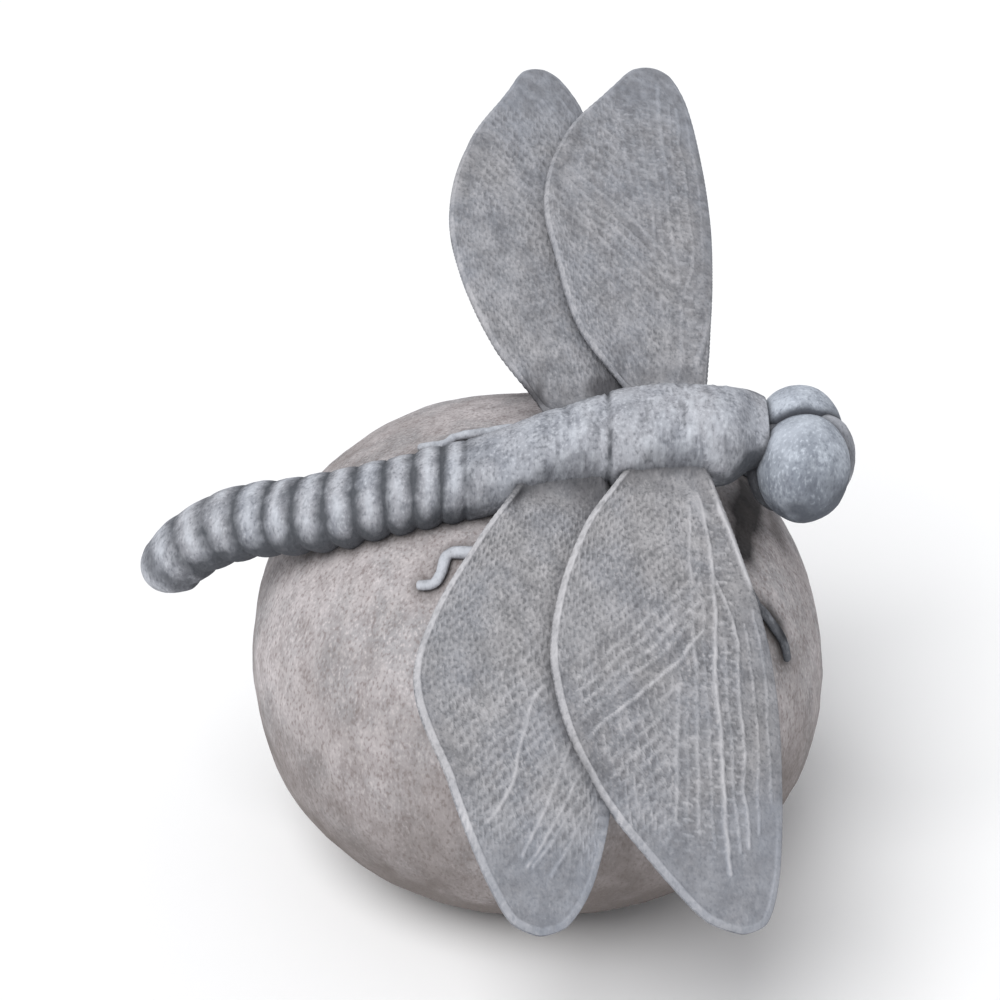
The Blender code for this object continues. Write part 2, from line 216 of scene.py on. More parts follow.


# ---- sizes of the wings

# Offsets of the leading and trailing edges from a wing's axis at shares of the span.
SPAN_SHARES = (0.0, 0.12, 0.24, 0.35, 0.5, 0.7, 0.87, 1.0)
OUTLINES = {
    "wing_fore_left": (
        (11.5, 14.7, 17.7, 19.2, 19.0, 17.2, 13.7, 9.5),
        (-6.0, -19.3, -23.9, -25.7, -19.4, -5.1, 2.8, 9.5),
    ),
    "wing_fore_right": (
        (8.0, 14.4, 20.1, 22.5, 22.6, 20.9, 17.5, 11.9),
        (-9.7, -22.6, -29.7, -30.5, -22.8, -6.7, 3.8, 11.9),
    ),
    "wing_hind_left": (
        (13.5, 10.5, 9.5, 9.5, 9.0, 4.0, -1.9, -6.2),
        (-7.0, -21.6, -30.1, -32.4, -27.9, -17.4, -12.1, -6.2),
    ),
    "wing_hind_right": (
        (12.8, 12.8, 12.9, 12.9, 12.4, 8.0, 2.0, -4.2),
        (-7.5, -19.1, -29.4, -33.2, -25.2, -16.7, -10.5, -4.2),
    ),
}
# Name: side (left is 1), root along and above the body, length, slope below level at root and
# tip, twist with the leading edge down, and lean towards the head.
WINGS = {
    "wing_fore_left": (1, 29.7, -1.0, 112.0, -39.0, -27.0, 14.0, -0.06),
    "wing_fore_right": (-1, 31.8, 1.0, 116.0, 33.0, 43.0, 12.0, 0.0),
    "wing_hind_left": (1, 9.5, -2.5, 113.0, -39.0, -27.0, 14.0, -0.015),
    "wing_hind_right": (-1, 3.8, 0.0, 115.0, 31.0, 37.0, 12.0, -0.01),
}
WING_ROOT_INSIDE = 6.0
WING_STEPS = (150, 300)
EDGE_CROWDING, ROOT_CROWDING = 0.4, 0.25  # how much closer the rows of points come there
PANEL_HEIGHT = 1.35  # of the wing's face above its middle sheet
RIM_HEIGHT = 0.7  # of the thin raised rim above the face
RIM_WIDTH = 1.5
RIM_SLOPE = (0.75, 1.25)  # the shares of its width between which it falls to the face
LEADING_RIM, LEADING_TIP_RIM = 0.6, 0.45  # its height at a leading edge, as shares
TRAILING_TIP_FALL = 0.4  # how much of it a trailing edge loses towards the tip
PANEL_HOLLOW = (0.25, 4.0)  # depth of the dip inside the rim, and how wide it opens
SHED_DEPTH = 0.8  # how far the face falls away to the leading edge
SHED_WIDTH = 7.0
SHED_IN = (34.0, 50.0)  # the reach over which that fall begins
UNDER_VEINS = 0.4  # height of the veins on the underside, as a share
EDGE_ROUNDING = 2.0
# A wing's faces sweep up and down the body's side: where the sweep starts to fade along the
# wing and how far out it ends, and how far in from the wing's edges it is whole.
FILLET_START, FILLET_REACH = 2.0, 15.0
FILLET_EDGE_IN = (0.0, 4.0)
ROOT_REACH = 9.5  # over which the swept root climbs the body's side
ROOT_CLIMB = (46.0, -8.0)  # degrees round the body at the start and the end of that
ROOT_SUNK = (1.2, 0.3)  # how deep the swept root lies in the body
ROOT_SINKS = (0.0, 4.0)  # over what reach
LOWER_FILLET = 0.6  # how far the lower face's sweep reaches, as a share of the upper's
ROOT_TONE_OUT = (2.0, 9.0)  # where the body's tone gives way to the wing's

# A wing's fine shapes: lumps on its faces, and how its veins wander and vary.
UPPER_LUMPS = ((0.15, 9.0, 33), (0.05, 1.1, 34))
LOWER_LUMPS = ((0.1, 5.0, 35),)
WANDER_OUT = ((0.6, 6.0, 31), (0.2, 2.2, 38))
WANDER_ACROSS = ((0.4, 7.0, 30), (0.2, 2.2, 39))
VEIN_UNEVENNESS = ((0.25, 5.0, 32), (0.4, 1.9, 37))
VEIN_EVENNESS = 0.95
STRONG_VEIN_EVENNESS = (0.4, 0.5)  # what a strong vein keeps, and what varies with its strength
FINE_VEINS_FALL, BARE_BACK_FALL = 0.85, 0.7  # what fine veins lose near the tip and at the back

# The right wings came crisp out of the mould and the left ones softer: the width and height
# of the rim, strong veins, all veins and the most a fine vein stands, as shares or in mm, then
# the tone of grit, the painted shadow in the gap at the hind wing's root, and the bloom all over.
CRISPNESS = {
    "right": (1.0, 1.0, 1.0, 1.0, math.inf, 0.12, -0.4, 0.0),
    "left": (0.65, 0.5, 0.6, 0.7, 0.36, 0.25, -1.1, 0.25),
}
# Where along the wing the veins, the rim, the tip's painted shade and the gap's painted shadow
# come and go.
VEINS_IN = (8.0, 15.0)
FINE_VEINS_OUT = (91.0, 101.0)
BARE_BACK_IN, BARE_BACK_OUT = (55.0, 64.0), (82.0, 92.0)
BARE_BACK_EDGE = (3.5, 6.5)  # how far in from the trailing edge it reaches
RIM_IN = (5.0, 9.0)
LEADING_RIM_OUT = (18.0, 44.0)
TIP_IN = (84.0, 100.0)
TIP_SHADE_IN = (72.0, 104.0)
GAP_OUT = (10.0, 22.0)
GAP_ACROSS_IN = (0.0, 6.0)  # across the wing
WING_TONES = {"veins": 1.2, "low veins": 1.0, "rim": 0.8, "all over": -0.33}
LOW_VEIN = 0.6
EDGE_TONE = 0.1  # how far in from the very edge the rim's tone starts
UNDERSIDE_TONE = 0.5
PATCH_TONE = ((0.13, 4.0, 36),)
GRIT_SIZE, GRIT_SEED = 1.5, 46  # in mm
ROOT_SHADOW = ((7.0, -13.0), 20.0, -1.4)  # painted shadow at the root's rear corner: reach and offset, spread in mm squared, and tone
# The bluish darkening at the tip and along the leading slope is painted shade, the patches are
# bloom.
BLOOM_AND_SHADE_WEIGHTS = {"tip": 0.8, "shed": 0.4, "patches": 0.3}
TIP_SHADE_EDGE = ((8.0, 12.0, 42),)
BLOOM_PATCHES = (24.0, 40)  # their size in mm and a seed
BLOOM_PATCH_IN = (0.0, 0.8)

# Strong veins of a wing: their places in mm along and across it, height and width.
RIBS = {
    "fore": (
        (((7, 7.6), (14, 10.2), (20, 12.6), (27, 15.0), (34, 17.0)), 0.85, 2.2),
        (((11, 3.4), (14, 5.0), (17, 6.6)), 0.6, 3.4),
        (((12, 3.2), (30, 2.7), (60, 2.9), (94, 2.4)), 0.5, 1.2),
        (((9, 4.5), (20, 7.0), (33, 8.2), (60, 7.7), (80, 8.3), (103, 9.0)), 0.7, 1.5),
        (((32, 8.2), (39, 10.8), (45, 12.7), (60, 13.1), (97, 13.4)), 0.55, 1.3),
        (((61, -1.4), (72, -1.9), (92, -3.0)), 0.55, 1.3),
        (((22, 5.1), (40, 5.3), (70, 5.4), (97, 5.8)), 0.36, 1.0),
        (((48, 10.3), (70, 10.4), (98, 11.4)), 0.4, 1.0),
        (((63, 0.5), (80, 0.2), (92, -0.4)), 0.34, 1.0),
        (((44, 15.4), (70, 17.0), (94, 16.0)), 0.34, 1.0),
        (((40, 17.6), (60, 19.7), (86, 19.6)), 0.26, 1.0),
    ),
    "hind": (
        (((58, -3.5), (62, -6.2), (72, -8.9), (81, -10.7), (91, -16.0)), 0.7, 1.5),
        (((70, 3.6), (74.5, 1.5), (82, -1.2), (92, -5.3), (98, -8.0)), 0.6, 1.3),
        (((78, 5.0), (88, 0.2), (96.5, -4.4), (100, -6.8)), 0.6, 1.2),
        (((84, 4.6), (94.5, -1.6), (100, -5.6)), 0.5, 1.2),
        (((88, 5.8), (96, 1.4), (102, -2.0)), 0.4, 1.1),
    ),
}
# Fine veins fan out behind the strong ones: where across the wing they leave them, how they
# bend and slant, then for each band of them the reach at which it ends, its pitch, the veins'
# height, and the pitch and height of the cross veins.
FANS = {
    "fore": (
        (5.0, 0.6, 0.82),
        (
            (-70, 2.3, 0.0, 1.7, 0.0),
            (28, 2.3, 0.36, 1.75, 0.32),
            (43, 3.4, 0.58, 2.3, 0.34),
            (49.5, 4.0, 0.78, 30.0, 0.0),
            (110, 3.6, 0.42, 2.6, 0.42),
        ),
    ),
    "hind": (
        (9.0, 0.6, 0.9),
        (
            (-70, 2.2, 0.0, 1.7, 0.0),
            (30, 2.2, 0.32, 1.65, 0.3),
            (62, 2.9, 0.44, 2.2, 0.4),
            (120, 2.9, 0.36, 2.2, 0.36),
        ),
    ),
}
FAN_VEIN_WIDTH = 1.35
CROSS_VEIN_WIDTH = 0.85
CROSS_VEIN_JITTER = (0.7, 1.7)  # how unevenly they are set, and over how many veins
BEADS = 0.5  # how much lower a fan vein runs between its beads
# Short rungs fill the fore wing's strip between the fan and the strong veins ahead of it.
LADDER_ACROSS = (-4.0, 13.0)
LADDER_PITCHES = (2.6, 3.5)  # of the lanes across the wing and of the rungs in each
LADDER_HEIGHT = 0.42
LADDER_START = 12.0
LADDER_STAGGER = 0.382
LADDER_EDGE = (5.0, -3.5)  # its rear border near the root and near the tip
LADDER_EDGE_MOVES = (50.0, 66.0)


# ---- sizes of the legs

# Each point is a place along X and an angle round the boulder in degrees.
LEGS = {
    "leg_fore_left": ((34, 12), (44, -4), (52, -9), (57, -15), (61, -16)),
    "leg_mid_left": ((26, 10), (31, -8), (28, -18), (22, -23), (20, -29)),
    "leg_hind_left": ((8, 10), (-2, 3), (-11, 3.5), (-19, 4), (-22, 6), (-29, 5)),
    "leg_fore_right": ((34, 26), (42, 33), (49, 37), (54, 45), (57, 48), (61, 54), (62, 60)),
    "leg_mid_right": ((28, 26), (34, 44), (31, 54), (25, 59), (24, 66)),
    "leg_hind_right": (
        (8, 26), (-4, 37), (-14, 38), (-20.5, 38),
        (-22.5, 42), (-24.5, 44), (-28.5, 44),
    ),
}
LEG_HEIGHT = 0.6  # of a leg's middle line above the stone
LEG_HALF = (1.7, 1.1)  # half thickness at the body and at the claw
LEG_FLATNESS = 0.7  # of its height to its width
LEG_END = 0.03  # the share of its length over which each end is rounded
LEG_KNEES = 0.12  # how much thicker a leg swells between its bends
SWELL_BLUNTNESS = 0.7  # a power: lower swells more evenly
LEG_STEPS = (20, 90)
LEG_LUMPS = ((0.12, 1.6, 40),)
LEG_MOTTLE = (1.5, 45)
DARKEST_SIDE = -0.8  # of a leg's painted shade, by the sine of the angle round it
# A leg's top carries a painted highlight and its lower side painted shade, and painted shadow
# darkens it.
LEG_TONES = {"height": 0.7, "all over": -0.05, "mottle": 0.3, "shadow": -0.8}
SHADED_LEG = "leg_fore_right"  # it is painted in the shadow of the wing and the head
SHADED_LEG_TINT = 0.7

CREASE_REACH = 2.2 * MM  # how far the painted shade spreads from where two pieces meet
DEEP_CREASE_REACH = 4.5 * MM  # the same on the pieces that others overhang
CREASE_FALL = 1.7  # how quickly it fades


# ---- small tools


def to_frame(points):
    """Millimetres round the boulder's axis as metres in the model's frame."""
    return np.asarray(points) * MM + AXIS


def unit(vectors):
    return vectors / np.linalg.norm(vectors, axis=-1, keepdims=True)


def smooth_step(value, low, high):
    share = np.clip((value - low) / (high - low), 0.0, 1.0)
    return share * share * (3.0 - 2.0 * share)


def fading(value, low, high):
    """The reverse of smooth_step: 1 up to low and 0 from high on."""
    return 1.0 - smooth_step(value, low, high)


def smooth_through(rows, places):
    """Rows read at fractional row numbers, on a curve that passes through each row."""
    rows = np.asarray(rows, float)
    first = np.clip(np.floor(places).astype(int), 0, len(rows) - 2)
    share = (places - first).reshape(places.shape + (1,) * (rows.ndim - 1))
    before, here = rows[np.maximum(first - 1, 0)], rows[first]
    there, after = rows[first + 1], rows[np.minimum(first + 2, len(rows) - 1)]
    return 0.5 * (
        2 * here
        + (there - before) * share
        + (2 * before - 5 * here + 4 * there - after) * share**2
        + (3 * here - before - 3 * there + after) * share**3
    )


def lumps(points, size, seed=0):
    """Smooth random heights from -1 to 1 over space, with hills about this many mm apart."""
    scaled = np.asarray(points) / size + 17.3 * seed
    cell = np.floor(scaled)
    share = scaled - cell
    share = share * share * (3.0 - 2.0 * share)
    total = np.zeros(len(scaled))
    for corner in itertools.product((0, 1), repeat=3):
        weight = np.where(corner, share, 1.0 - share).prod(axis=1)
        scatter = np.sin((cell + corner) @ (12.99, 78.23, 37.72)) * 43758.55
        total += weight * (2.0 * (scatter - np.floor(scatter)) - 1.0)
    return total


def layered(points, rows):
    """Lumps of several sizes together: each row is a height, a size and a seed."""
    return sum(height * lumps(points, size, seed) for height, size, seed in rows)


def weighed(weights, features):
    """The features added up, each times its own weight, with "all over" as 1 everywhere."""
    features = {"all over": 1.0, **features}
    return sum(weight * features[name] for name, weight in weights.items())


def ridge(distance, width):
    """A rounded ridge: 1 on its line, 0 from half its width on."""
    return np.clip(1.0 - (2.0 * distance / width) ** 2, 0.0, 1.0)


def distance_to_line(points, start, end):
    start, end = np.array(start), np.array(end)
    run = end - start
    share = np.clip((points - start) @ run / (run @ run), 0.0, 1.0)
    return np.linalg.norm(points - start - share[:, None] * run, axis=1)


def points_of(bm):
    return np.array([vertex.co for vertex in bm.verts])


def new_ball(steps):
    """A ball of radius 1, and its points."""
    bm = bmesh.new()
    around, upward = steps
    bmesh.ops.create_uvsphere(bm, u_segments=around, v_segments=upward, radius=1.0)
    return bm, points_of(bm)


def drawn_out(ball):
    """A ball's points as a share of the way from its top to its foot and an angle round it."""
    share = np.arccos(np.clip(ball[:, 2], -1, 1)) / math.pi
    return share, np.arctan2(ball[:, 1], ball[:, 0])


def add_object(name, bm, material):
    """A new object with the finished bmesh as its mesh, in this material."""
    mesh = bpy.data.meshes.new(name)
    bm.to_mesh(mesh)
    bm.free()
    mesh.materials.append(material)
    made = bpy.data.objects.new(name, mesh)
    bpy.context.scene.collection.objects.link(made)
    return made


def finished(name, bm, points, relief, material, slot, *nodes, tinted=None):
    """The piece: the mesh with its points moved to their places, its tones and its finish."""
    tones = {"relief": relief, "tinted": np.zeros(len(relief)) if tinted is None else tinted}
    for tone, values in tones.items():
        layer = bm.verts.layers.float.new(tone)
        for vertex, value in zip(bm.verts, values):
            vertex[layer] = value
    for vertex, point in zip(bm.verts, to_frame(points)):
        vertex.co = point
    bmesh.ops.remove_doubles(bm, verts=bm.verts, dist=0.001 * MM)
    bmesh.ops.recalc_face_normals(bm, faces=bm.faces)
    piece = add_object(name, bm, material)
    piece.data.shade_smooth()
    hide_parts(*nodes)
    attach(piece, "root")
    return piece


# ---- materials

PATCH_SIZE = 14.0  # in mm, of the pale and dark areas left by uneven wetting
MOTTLE_SIZE = 4.5
# Casting sand is finer, 0.2 to 0.5 mm, but would not show.
SAND_SIZE = 0.8
SAND_DEPTH = 0.35
RUN_DOWN = 0.55  # squeezes the patterns' scale upright, as rain draws them out
SHADOW_COLOUR = "#0F0E10"  # painted shadow
BLOOM_AND_SHADE = "#9499A3"  # the bluish bloom on the wings, and the painted shade at their tips and leading slopes


def colour(text):
    """An sRGB hex colour as linear red, green, blue and alpha."""
    values = [int(text[start : start + 2], 16) / 255 for start in (1, 3, 5)]
    linear = [v / 12.92 if v <= 0.04045 else ((v + 0.055) / 1.055) ** 2.4 for v in values]
    return (*linear, 1.0)


def add(tree, kind, settings=None, **links):
    """A node of this kind with its settings, its sockets set to values or linked from others."""
    node = tree.nodes.new("ShaderNode" + kind)
    for key, value in (settings or {}).items():
        setattr(node, key, value)
    for key, value in links.items():
        numbered = key[0] == "s" and key[1:].isdigit()
        socket = node.inputs[int(key[1:])] if numbered else node.inputs[key]
        if isinstance(value, bpy.types.NodeSocket):
            tree.links.new(value, socket)
        else:
            socket.default_value = value
    return node


def blend_colours(tree, share, under, over):
    mix = add(tree, "Mix", {"data_type": "RGBA"}, s0=share, s6=under, s7=over)
    return mix.outputs[2]


def between(tree, value, low, high, to_low=0.0, to_high=1.0):
    """The value's share of the way from low to high, kept between to_low and to_high."""
    sockets = {"s0": value, "s1": low, "s2": high, "s3": to_low, "s4": to_high}
    return add(tree, "MapRange", {"clamp": True}, **sockets).outputs[0]


def cast_stone(
    name, face, patch, light_grain, dark_grain, rubbed_and_lit, stained_and_shaded, crease_shade, crease_shading, tint, tinting
):
    """Dry-cast stone: sand and cement pressed in a mould, matt, pitted and stained.

    Sand grains show as light and dark specks, broad patches come from uneven wetting, the
    raised edges are rubbed light and the sunk places hold dark stain. The relief tone also
    carries painted highlights and painted shade, and the creases where pieces meet are painted
    in shade.
    """
    material = bpy.data.materials.new(name)
    material.use_nodes = True
    tree = material.node_tree
    tree.nodes.clear()
    where = add(tree, "TexCoord").outputs["Object"]
    upright = add(tree, "Mapping", None, Vector=where, Scale=(1.0, 1.0, RUN_DOWN)).outputs[0]

    def noise(size_mm, detail, roughness):
        scale = 1.0 / (size_mm * MM)
        node = add(tree, "TexNoise", None, Vector=upright, Scale=scale, Detail=detail)
        node.inputs["Roughness"].default_value = roughness
        return node.outputs["Fac"]

    def tone(attribute):
        return add(tree, "Attribute", {"attribute_name": attribute}).outputs["Fac"]

    patches = noise(PATCH_SIZE, 3.0, 0.5)
    mottle = noise(MOTTLE_SIZE, 2.0, 0.7)
    sand = noise(SAND_SIZE, 1.0, 0.6)
    relief = tone("relief")
    # Each coat of colour goes over the last: what places it, from and to, and how strongly.
    coats = (
        (patches, 0.42, 0.62, 1.0, patch),
        (mottle, 0.45, 0.8, 0.55, light_grain),
        (mottle, 0.5, 0.2, 0.5, dark_grain),
        (sand, 0.56, 0.72, 0.6, light_grain),
        (sand, 0.46, 0.3, 0.6, dark_grain),
        # The tint is painted shadow on the boulder and legs, and bloom with painted shade on the
        # wings.
        (tone("tinted"), 0.0, 1.0, tinting, tint),
        # Above 0 the relief is rubbed light or a painted highlight, below 0 stained or painted in
        # shade.
        (relief, 0.1, 1.0, 0.75, rubbed_and_lit),
        (relief, 0.0, -1.0, 0.88, stained_and_shaded),
        # The creases where pieces meet are painted in shade.
        (tone("crease"), 0.0, 1.0, crease_shading, crease_shade),
    )
    base = colour(face)
    for value, low, high, most, coat in coats:
        share = between(tree, value, low, high, 0.0, most)
        base = blend_colours(tree, share, base, colour(coat))

    rough = add(tree, "Bump", None, Height=sand, Strength=0.55, Distance=SAND_DEPTH * MM)
    surface = add(
        tree,
        "BsdfPrincipled",
        {"name": "cast stone"},
        Roughness=0.93,
        IOR=1.5,
        Metallic=0.0,
        **{"Base Color": base, "Normal": rough.outputs[0], "Specular IOR Level": 0.25},
    )
    add(tree, "OutputMaterial", None, Surface=surface.outputs[0])
    return material


# The same mix throughout: the boulder warm and porous, the insect colder and rubbed paler.
boulder_stone = cast_stone(
    "warm cast stone",
    face="#B3ADAE",
    patch="#9F9D9F",
    light_grain="#D2CBCB",
    dark_grain="#7F7472",
    rubbed_and_lit="#C9C3C4",
    stained_and_shaded="#6E6662",
    crease_shade="#4A4542",
    crease_shading=0.7,
    tint=SHADOW_COLOUR,
    tinting=0.9,
)
body_stone = cast_stone(
    "blue grey cast stone",
    face="#9FA0A6",
    patch="#999CA4",
    light_grain="#C3C6CC",
    dark_grain="#6C6F75",
    rubbed_and_lit="#D0D4DB",
    stained_and_shaded="#42454A",
    crease_shade="#35363A",
    crease_shading=0.6,
    tint=SHADOW_COLOUR,
    tinting=0.9,
)
wing_stone = cast_stone(
    "grey cast stone",
    face="#9B9A9C",
    patch="#929398",
    light_grain="#B9B7B9",
    dark_grain="#696A6D",
    rubbed_and_lit="#C9C8CB",
    stained_and_shaded="#4A494C",
    crease_shade="#35363A",
    crease_shading=0.6,
    tint=BLOOM_AND_SHADE,
    tinting=0.6,
)
eye_stone = cast_stone(
    "pale blue grey cast stone",
    face="#A9AFB9",
    patch="#8F959F",
    light_grain="#CCD3DC",
    dark_grain="#747983",
    rubbed_and_lit="#D2D9E3",
    stained_and_shaded="#4E525A",
    crease_shade="#303136",
    crease_shading=0.9,
    tint=SHADOW_COLOUR,
    tinting=0.9,
)


# ---- boulder


def boulder_reach(directions, grow=0.0):
    """How far the boulder's surface is from its centre in directions of length 1."""
    half = np.tile(BOULDER_HALF, (len(directions), 1))
    half[directions[:, 2] < 0, 2] = BOULDER_HALF_BELOW
    shares = (np.abs(directions / half) ** BOULDER_SQUARENESS).sum(axis=1)
    return shares ** (-1 / BOULDER_SQUARENESS) + grow


def stand_on_ground(points):
    """Points round the boulder's centre, leaned with the boulder and raised to its place."""
    leaned = points[:, 0] - BOULDER_LEAN * points[:, 2]
    return np.column_stack([leaned, points[:, 1], points[:, 2] + BOULDER_CENTRE_HEIGHT])


def on_boulder(x, angle, height):
    """Points at x and at angles round the boulder's X axis, at a height off the stone."""
    across = np.column_stack([np.zeros_like(angle), -np.sin(angle), np.cos(angle)])
    low, high = np.zeros(len(x)), np.full(len(x), 2.0 * max(BOULDER_HALF))
    for _ in range(HALVINGS):
        middle = (low + high) / 2
        points = across * middle[:, None]
        points[:, 0] = x
        inside = np.linalg.norm(points, axis=1) < boulder_reach(unit(points), height)
        low, high = np.where(inside, middle, low), np.where(inside, high, middle)
    return stand_on_ground(points)


def painted_shadow_at(points):
    """How much painted shadow lies on the stone at these points: 1 is as dark as it gets."""
    shadow = np.zeros(len(points))
    for start, end, spread, strength in PAINTED_SHADOW_LINES:
        near = distance_to_line(points, start, end) + layered(points, PAINTED_SHADOW_EDGE)
        shadow = np.maximum(shadow, strength * np.exp(-((near.clip(0.0) / spread) ** 2)))
    return shadow


def make_boulder():
    bm, ball = new_ball(BOULDER_STEPS)
    directions = unit(ball)
    points = directions * boulder_reach(directions)[:, None]
    bumps = layered(points, BOULDER_LUMPS)
    points = stand_on_ground(points + directions * (bumps - BOULDER_INSET)[:, None])
    height = points[:, 2]
    turned = (height + BOULDER_RIM) ** 2 / (4 * BOULDER_RIM)
    flattened = np.where(height < -BOULDER_RIM, 0, turned)
    points[:, 2] = np.where(height > BOULDER_RIM, height, flattened)
    # The boulder is painted in shade towards its foot.
    features = {"lumps": bumps, "foot": fading(points[:, 2], *FOOT_SHADE)}
    relief = weighed(BOULDER_TONES, features)
    # Painted shadow where the head, a leg and a wing's root overhang the stone.
    shadow = painted_shadow_at(points)
    return finished(
        "boulder_skin", bm, points, relief, boulder_stone, "boulder_stone", "boulder", tinted=shadow
    )


# ---- body


def dense_line(rows, steps=20):
    """Close samples of the body's line, and how far along it each one lies."""
    places = np.linspace(0, len(rows) - 1, (len(rows) - 1) * steps + 1)
    samples = smooth_through(rows, places)
    runs = np.linalg.norm(np.diff(samples[:, :3], axis=0), axis=1)
    return samples, np.concatenate([[0.0], np.cumsum(runs)])


LINE, ALONG = dense_line(BODY_LINE)


def along_line(distances, columns=slice(None)):
    return np.stack([np.interp(distances, ALONG, column) for column in LINE.T[columns]], axis=-1)


def distance_at(x):
    """How far along the body's line each place along X is."""
    return np.interp(-x, -LINE[:, 0], ALONG)


def body_at(distances, roll=BODY_ROLL):
    """Centres, directions to the head, left and up, and half sizes of the body's sections."""
    rows = along_line(distances)
    forward = unit(along_line(distances - 1.0, slice(3)) - along_line(distances + 1.0, slice(3)))
    upright = np.clip((UPRIGHT_TO - distances) / UPRIGHT_FADE, 0.0, 1.0)[:, None]
    forward = unit(forward * (1.0 - upright) + np.array([1.0, 0.0, 0.0]) * upright)
    up = np.array([0.0, -math.sin(roll), math.cos(roll)])
    up = unit(up - forward * (forward @ up)[:, None])
    return rows[:, :3], forward, np.cross(up, forward), up, rows[:, 3:]


def ring_number(distances):
    """How many rings, with parts of one, lie between the rings' start and each distance."""
    shares = np.arange(RINGS + 1) / RINGS
    shares = (1.0 - RING_GROWTH) * shares + RING_GROWTH * shares**2
    starts = RINGS_START + (TAIL_END - RINGS_START) * shares
    return np.interp(distances, starts, range(RINGS + 1))


def ring_features(distances, upward, below):
    """The abdomen's grooves, and the rubbed crests between them with their painted highlight."""
    number = ring_number(distances)
    to_end = TAIL_END - distances
    wave = np.abs(np.sin(math.pi * number))
    ringed = smooth_step(number, *FIRST_RING_IN) * smooth_step(to_end, *LAST_RING_OUT)
    ringed *= WEAKEST_RING + (1.0 - WEAKEST_RING) * smooth_step(to_end, *WEAK_RINGS_OUT)
    edge_above, edge_below = RING_EDGES
    groove = (1.0 - wave ** (edge_above + (edge_below - edge_above) * below)) * ringed
    # The crests carry a painted highlight only round the side where the light falls.
    painted_light = np.exp(-(((upward - CREST_MIDDLE) / CREST_SPREAD) ** 2))
    return groove, wave**CREST_SHARPNESS * painted_light * smooth_step(distances, *CRESTS_IN)


def fur(distances, upward, place):
    """Short strokes of fur lying across the thorax, weaker on the plate and underneath."""
    furred = smooth_step(distances, *FUR_IN) * fading(distances, *FUR_OUT)
    furred *= FUR_BENEATH + (1.0 - FUR_BENEATH) * smooth_step(upward, *FUR_SIDE_IN)
    plate = smooth_step(distances, *PLATE_IN) * fading(distances, *PLATE_OUT)
    strokes = sum(height * lumps(place / size, 1.0, seed) for size, height, seed in FUR_STROKES)
    return strokes * furred * (1.0 - BARE_PLATE * plate)


def body_skin(distances, angle, width):
    """How far the skin stands off the body's plain section in mm, and its relief tone."""
    upward = np.sin(angle)
    place = np.column_stack([distances, width * np.cos(angle), width * upward])
    below = smooth_step(-upward, *BELOW_IN)
    groove, rubbed_and_lit = ring_features(distances, upward, below)
    abdomen = smooth_step(distances, *ABDOMEN_IN)
    # Painted shade on the abdomen's underside, less towards the tail and on the far side.
    shaded = smooth_step(-upward, *UNDERSIDE_IN)
    shaded *= 1.0 - LIT_TAIL * smooth_step(distances, *LIT_TAIL_IN)
    shaded *= 1.0 - LIT_FAR_SIDE * smooth_step(np.cos(angle), *FAR_SIDE_IN)
    features = {
        "fur": fur(distances, upward, place),
        "groove": groove,
        "groove below": groove * below,
        "rubbed_and_lit": abdomen * rubbed_and_lit,
        "abdomen": abdomen,
        "underside": abdomen * shaded,
        # The step behind the plate's edge is a notch, darkened with painted shadow.
        "step": np.exp(-(((distances - PLATE_EDGE - STEP_BEYOND) / STEP_WIDTH) ** 2)),
        "sunk": smooth_step(distances, *SUNK_IN) * fading(distances, *SUNK_OUT),
        "waist": np.exp(-(((distances - THORAX_END) / WAIST_WIDTH) ** 2)),
        "tail": smooth_step(distances, *TAIL_IN),
        # The belly, the neck beside the eye and the throat are painted in shade.
        "belly": smooth_step(-upward, *BELLY_IN),
        "neck": fading(distances, *NECK_OUT) * smooth_step(-upward, *NECK_SIDE_IN),
        "throat": fading(distances, *THROAT_OUT) * smooth_step(-upward, *THROAT_SIDE_IN),
        **{name: lumps(place, size, seed) for name, (size, seed) in SKIN_LUMPS.items()},
    }
    return weighed(SKIN_HEIGHTS, features), weighed(SKIN_TONES, features)


def body_point(distances, angle, sunk=0.0):
    """Points on the body's skin at distances along it and angles round it, and their tone."""
    centre, _, left, up, sizes = body_at(distances)
    width, above, below = sizes.T
    height = np.where(np.sin(angle) > 0, above, below)
    grown, relief = body_skin(distances, angle, width)
    to_end = np.clip(1.0 - (TAIL_END - distances) / BODY_LINE[-1][3], 0.0, 1.0)
    swell = np.sqrt(np.clip(1.0 - to_end**2, 0.0, 1.0)) * (distances > BODY_START)
    points = centre + left * ((width + grown - sunk) * swell * np.cos(angle))[:, None]
    points += up * ((height + grown - sunk) * swell * np.sin(angle))[:, None]
    return points, relief


def make_body():
    bm, ball = new_ball(BODY_STEPS)
    share, angle = drawn_out(ball)
    points, relief = body_point(BODY_START + (TAIL_END - BODY_START) * share, angle)
    nodes = ["neck", "thorax_front", "thorax_rear", "abdomen_base"]
    nodes += [f"abdomen_{number}" for number in (1, 2, 3, 4)]
    return finished("body_skin", bm, points, relief, body_stone, "dragonfly_stone", *nodes)


# ---- head


